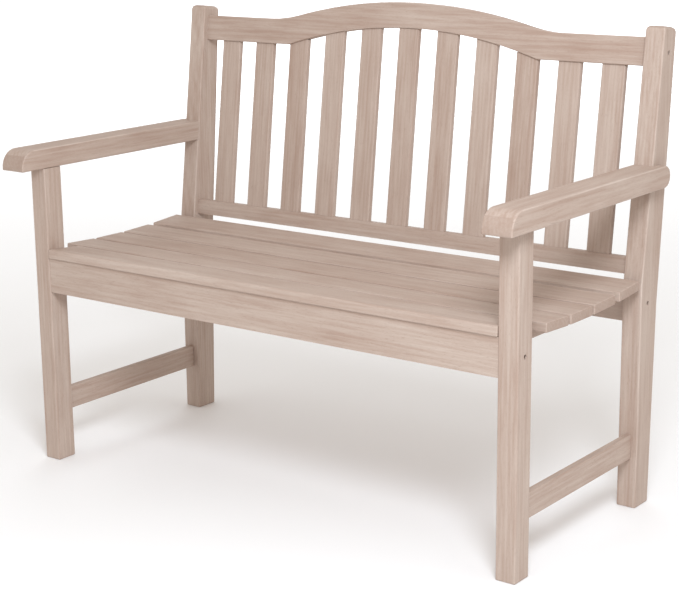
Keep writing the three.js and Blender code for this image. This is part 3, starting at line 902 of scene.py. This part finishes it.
def makeSeatRail(name, node, boltName, slopes):
    low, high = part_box(node)
    rail = sawBlank(name, (-railEnd, low.y, low.z), (railEnd, high.y, high.z))
    if slopes:
        # the top edge is planed to the first slat's slope
        drop = (high.y - low.y) * math.tan(-slatTilt(1))
        pickVerts(rail, lambda at: nearTo(at.z, high.z) and nearTo(at.y, high.y))
        bpy.ops.transform.translate(value=(0, 0, -drop))
        closeMesh()
    roundArrises(rail, [(alongRail, seatRails["arris"])])
    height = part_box("back_seat_rail")[1].z - low.z
    share = (1, joint["tenon"] / (high.y - low.y), 1 - 4 * joint["shoulder"] / height)
    for side in (-1, 1):
        sawTenon(rail, (side, 0, 0), share, joint["stub"])
    inner = high.y if slopes else low.y
    cutAway(rail, housings(inner))
    for sideName, side in sides.items():
        bolt = middleOf(boltName + "_bolt_" + sideName)
        nut = middleOf(boltName + "_barrel_nut_" + sideName)
        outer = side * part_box("back_post_right")[1].x
        cutAway(rail, [stepDrill((outer, bolt.y, bolt.z), (-side, 0, 0))])
        cutAway(rail, [drillBarrel(nut, high.y)])
    finishWood(rail, node, "x")


# The plane for a bearer's flats reaches a little past the slat and well clear of the wood
plane = {"pastSlat": 3 * mm, "beside": 10 * mm, "above": 60 * mm}


def makeBearer(name):
    node = "seat_bearer_" + name
    low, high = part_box(node)
    bearer = sawBlank("seatBearer." + name, low, high)
    # a flat under each slat, from just in front of the slat to just behind it
    for number in seatSlatNumbers:
        slatMid = middleOf("seat_slat_%d" % number)
        tilt = slatTilt(number)
        depth = (seat["firstDepth"] if number == 1 else seat["depth"]) / 2 + plane["pastSlat"]
        foot = slatMid.z - seat["thickness"] / 2 - joint["gap"]
        tool = sawBlank("plane", (low.x - plane["beside"], slatMid.y - depth, foot),
                        (high.x + plane["beside"], slatMid.y + depth, slatMid.z + plane["above"]))
        turnPiece(tool, -tilt, slatMid)
        cutAway(bearer, [tool])
    cutAway(bearer, [screwDrill("slat_screw_%s_%d" % (name, number)) for number in seatSlatNumbers])
    finishWood(bearer, node, "y")


makeSeatRail("frontApron", "front_apron", "apron", True)
makeSeatRail("backSeatRail", "back_seat_rail", "seat_rail", False)
for name in bearers:
    makeBearer(name)
print("seat rails and bearers made")


# Colours are given as on a screen and turned linear here
def fromHex(code):
    def toLinear(value):
        return value / 12.92 if value <= 0.04045 else ((value + 0.055) / 1.055) ** 2.4

    return tuple(toLinear(int(code[i:i + 2], 16) / 255) for i in (1, 3, 5)) + (1.0,)


# Adds a node with its settings and its inputs: an input is a value or another node's output
def addNode(tree, kind, settings=None, inputs=None):
    node = tree.nodes.new(kind)
    for key, value in (settings or {}).items():
        setattr(node, key, value)
    for key, value in (inputs or {}).items():
        if isinstance(value, bpy.types.NodeSocket):
            tree.links.new(value, node.inputs[key])
        else:
            node.inputs[key].default_value = value
    return node


# Eucalyptus, planed and sanded, then wiped with a thin white wash and left matt: the wash dulls the
# red-brown wood to a pale taupe, lies thicker in some bands than others, and leaves a paler line on every
# arris, partly the wash rubbed back and partly painted highlight. Sizes are in millimetres.
limewash = {
    "wood": "#987968",
    "wash": "#c9baae",
    "streak": "#7f6251",
    # the paler arris colour: partly the wash rubbed back, partly painted highlight
    "arris": "#d6c9be",
    "endGrain": "#9b8375",
    "bandWidth": 16,
    "bandLength": 420,
    "fineWidth": 4.2,  # drawn coarser than the real 1 mm so that it shows from a few metres
    "fineLength": 90,
    "ringSpacing": 7,
    "poreWidth": 0.5,
    "poreLength": 9,
    "mottle": 60,
    # how thick the wash lies, and how much each pattern and each board changes it
    "thickness": 0.44,
    "byBand": 0.15,
    "byFine": 0.22,
    "byMottle": 0.14,
    "byRing": 0.08,
    "byBoard": 0.06,
    # how dark the pores, the odd streak and the end grain are, and how pale the arrises are painted, as
    # rubbed-back wash and painted highlight
    "poreShare": 0.35,
    "streakShare": 0.22,
    "endShare": 0.45,
    "rubbedAndHighlightShare": (0.1, 0.45),
    "roughness": 0.62,
    "bump": 0.25,
    "bumpDepth": 0.3,
}

# Millimetres from one ring of a wave texture to the next when its scale is 1
waveRepeat = 314


def limewashedEucalyptus():
    material = bpy.data.materials.new("limewashedEucalyptus")
    material.use_nodes = True
    tree = material.node_tree
    tree.nodes.clear()
    look = limewash
    grain = addNode(tree, "ShaderNodeAttribute", {"attribute_name": "grain"}).outputs["Vector"]
    arris = addNode(tree, "ShaderNodeAttribute", {"attribute_name": "arris"}).outputs["Fac"]
    board = addNode(tree, "ShaderNodeAttribute", {"attribute_name": "board"}).outputs["Fac"]
    ends = addNode(tree, "ShaderNodeAttribute", {"attribute_name": "endGrain"}).outputs["Fac"]

    def stretched(length, width):
        scale = (1000 / length, 1000 / width, 1000 / width)
        scaled = addNode(tree, "ShaderNodeVectorMath", {"operation": "MULTIPLY"}, {0: grain, 1: scale})
        return scaled.outputs[0]

    def noise(length, width, detail=3.0, rough=0.55, twist=0.0):
        return addNode(
            tree,
            "ShaderNodeTexNoise",
            {"noise_dimensions": "3D"},
            {"Vector": stretched(length, width), "Scale": 1.0, "Detail": detail, "Roughness": rough,
             "Distortion": twist},
        ).outputs["Fac"]

    def spread(value, low, high, toLow=0.0, toHigh=1.0):
        return addNode(
            tree,
            "ShaderNodeMapRange",
            {"interpolation_type": "SMOOTHSTEP"},
            {"Value": value, "From Min": low, "From Max": high, "To Min": toLow, "To Max": toHigh},
        ).outputs["Result"]

    def blendColour(share, first, second):
        inputs = {0: share, 6: first, 7: second}
        return addNode(tree, "ShaderNodeMix", {"data_type": "RGBA"}, inputs).outputs[2]

    def sums(operation, first, second):
        return addNode(tree, "ShaderNodeMath", {"operation": operation}, {0: first, 1: second}).outputs[0]

    def swing(value, amount):
        return sums("MULTIPLY", sums("SUBTRACT", value, 0.5), amount)

    bands = noise(look["bandLength"], look["bandWidth"], detail=2.0, twist=0.4)
    fine = noise(look["fineLength"], look["fineWidth"], detail=3.0, rough=0.6)
    mottle = noise(look["mottle"] * 3, look["mottle"], detail=3.0)
    pores = noise(look["poreLength"], look["poreWidth"], detail=1.0)
    # growth rings round a heart that lies well outside the board
    rings = addNode(
        tree,
        "ShaderNodeTexWave",
        {"wave_type": "RINGS", "rings_direction": "X", "wave_profile": "SIN"},
        {"Vector": stretched(1000 * 6, 1000), "Scale": waveRepeat / look["ringSpacing"], "Distortion": 6.0,
         "Detail": 2.0, "Detail Scale": 0.02, "Detail Roughness": 0.5},
    ).outputs["Fac"]
    bandShare = spread(bands, 0.30, 0.70)
    fineShare = spread(fine, 0.32, 0.68)
    wash = sums("ADD", sums("MULTIPLY", bandShare, look["byBand"]), look["thickness"])
    wash = sums("ADD", wash, swing(fineShare, look["byFine"]))
    wash = sums("ADD", wash, swing(spread(mottle, 0.3, 0.7), look["byMottle"]))
    wash = sums("ADD", wash, swing(rings, look["byRing"]))
    wash = sums("ADD", wash, sums("MULTIPLY", board, look["byBoard"]))
    colour = blendColour(wash, fromHex(look["wood"]), fromHex(look["wash"]))
    dark = sums("MULTIPLY", spread(pores, 0.62, 0.72), look["poreShare"])
    colour = blendColour(dark, colour, fromHex(look["streak"]))
    dark = sums("MULTIPLY", spread(fine, 0.60, 0.80), look["streakShare"])
    colour = blendColour(dark, colour, fromHex(look["streak"]))
    colour = blendColour(sums("MULTIPLY", ends, look["endShare"]), colour, fromHex(look["endGrain"]))
    # the arrises are painted paler, partly as rubbed-back wash and partly as painted highlight, broken up
    # by the mottle
    rubbedAndHighlight = sums("MULTIPLY", arris, spread(mottle, 0.25, 0.7, *look["rubbedAndHighlightShare"]))
    colour = blendColour(rubbedAndHighlight, colour, fromHex(look["arris"]))
    rough = spread(fine, 0.2, 0.8, look["roughness"] - 0.07, look["roughness"] + 0.1)
    pits = sums("MULTIPLY", spread(pores, 0.58, 0.72), -0.6)
    height = sums("ADD", sums("MULTIPLY", fineShare, 0.5), pits)
    bump = addNode(
        tree,
        "ShaderNodeBump",
        None,
        {"Strength": look["bump"], "Distance": look["bumpDepth"] * mm, "Height": height},
    ).outputs["Normal"]
    shader = addNode(
        tree,
        "ShaderNodeBsdfPrincipled",
        None,
        {"Base Color": colour, "Roughness": rough, "Normal": bump, "IOR": 1.5},
    )
    addNode(tree, "ShaderNodeOutputMaterial", None, {"Surface": shader.outputs[0]})
    return material


# Steel bolts, barrel nuts and screws in a dull dark brown: painted shade, standing in for the shadow
# down in their recessed holes, with a faint cloudy frosting
steelShadeLook = {
    "steel": "#6a5346",
    "cloud": "#57443a",
    "cloudSize": 1.6,
    "roughness": (0.34, 0.54),
    "bump": 0.15,
    "bumpDepth": 0.05,
}


# Steel darkened to a brown that is painted shade for the recesses the fasteners sit in
def steelDarkenedForShade():
    material = bpy.data.materials.new("steelDarkenedForShade")
    material.use_nodes = True
    tree = material.node_tree
    tree.nodes.clear()
    where = addNode(tree, "ShaderNodeTexCoord").outputs["Object"]
    cloud = addNode(
        tree,
        "ShaderNodeTexNoise",
        None,
        {"Vector": where, "Scale": 1000 / steelShadeLook["cloudSize"], "Detail": 3.0},
    ).outputs["Fac"]
    colour = addNode(
        tree,
        "ShaderNodeMix",
        {"data_type": "RGBA"},
        {0: cloud, 6: fromHex(steelShadeLook["steel"]), 7: fromHex(steelShadeLook["cloud"])},
    )
    smoothest, roughest = steelShadeLook["roughness"]
    rough = addNode(
        tree,
        "ShaderNodeMapRange",
        None,
        {"Value": cloud, "To Min": smoothest, "To Max": roughest},
    ).outputs["Result"]
    bump = addNode(
        tree,
        "ShaderNodeBump",
        None,
        {"Strength": steelShadeLook["bump"], "Distance": steelShadeLook["bumpDepth"] * mm, "Height": cloud},
    ).outputs["Normal"]
    shader = addNode(
        tree,
        "ShaderNodeBsdfPrincipled",
        None,
        {"Base Color": colour.outputs[2], "Metallic": 1.0, "Roughness": rough, "Normal": bump},
    )
    addNode(tree, "ShaderNodeOutputMaterial", None, {"Surface": shader.outputs[0]})
    return material


woodFinish = limewashedEucalyptus()
for piece in boards:
    piece.data.materials.append(woodFinish)
# the fasteners get the steel darkened as painted shade
steelFinish = steelDarkenedForShade()
for node in nodes.values():
    if not node.hide_render:
        for place in node.material_slots:
            place.material = steelFinish
print("materials on:", len(boards), "boards")


# Floor and light
studio = {
    "floor": "#fafafa",
    "floorSize": 60,
    "air": "#fffaf5",
    "airStrength": 0.76,
    "lampColour": "#eef6ff",
    # where each lamp hangs, where it points, its width, its power and how far it spreads
    "lamps": {
        "key": ((1.55, -1.6, 2.05), (0.1, 0, 0.45), 0.9, 52, 180),
        "farFloor": ((-5.5, 7.5, 8), (-5.5, 7.5, 0), 6, 420, 100),
    },
}


def paleFloor():
    deselectAll()
    bpy.ops.mesh.primitive_plane_add(size=studio["floorSize"], location=(0, 0, 0))
    floor = bpy.context.active_object
    floor.name = "floor"
    material = bpy.data.materials.new("paleFloor")
    material.use_nodes = True
    tree = material.node_tree
    tree.nodes.clear()
    shader = addNode(tree, "ShaderNodeBsdfPrincipled", None,
                     {"Base Color": fromHex(studio["floor"]), "Roughness": 0.9})
    addNode(tree, "ShaderNodeOutputMaterial", None, {"Surface": shader.outputs[0]})
    floor.data.materials.append(material)


def lightStudio():
    world = bpy.data.worlds.new("studio")
    world.use_nodes = True
    tree = world.node_tree
    tree.nodes.clear()
    air = addNode(tree, "ShaderNodeBackground", None,
                  {"Color": fromHex(studio["air"]), "Strength": studio["airStrength"]})
    addNode(tree, "ShaderNodeOutputWorld", None, {"Surface": air.outputs[0]})
    bpy.context.scene.world = world
    for name, (spot, target, size, power, reach) in studio["lamps"].items():
        data = bpy.data.lights.new(name, "AREA")
        data.shape = "DISK"
        data.size = size
        data.energy = power
        data.color = fromHex(studio["lampColour"])[:3]
        data.spread = math.radians(reach)
        lamp = bpy.data.objects.new(name, data)
        lamp.visible_camera = False
        bpy.context.scene.collection.objects.link(lamp)
        lamp.location = spot
        aim = Vector(target) - Vector(spot)
        lamp.rotation_euler = aim.to_track_quat("-Z", "Y").to_euler()


paleFloor()
lightStudio()
bpy.context.scene.view_settings.view_transform = "Standard"
print("floor and light set")
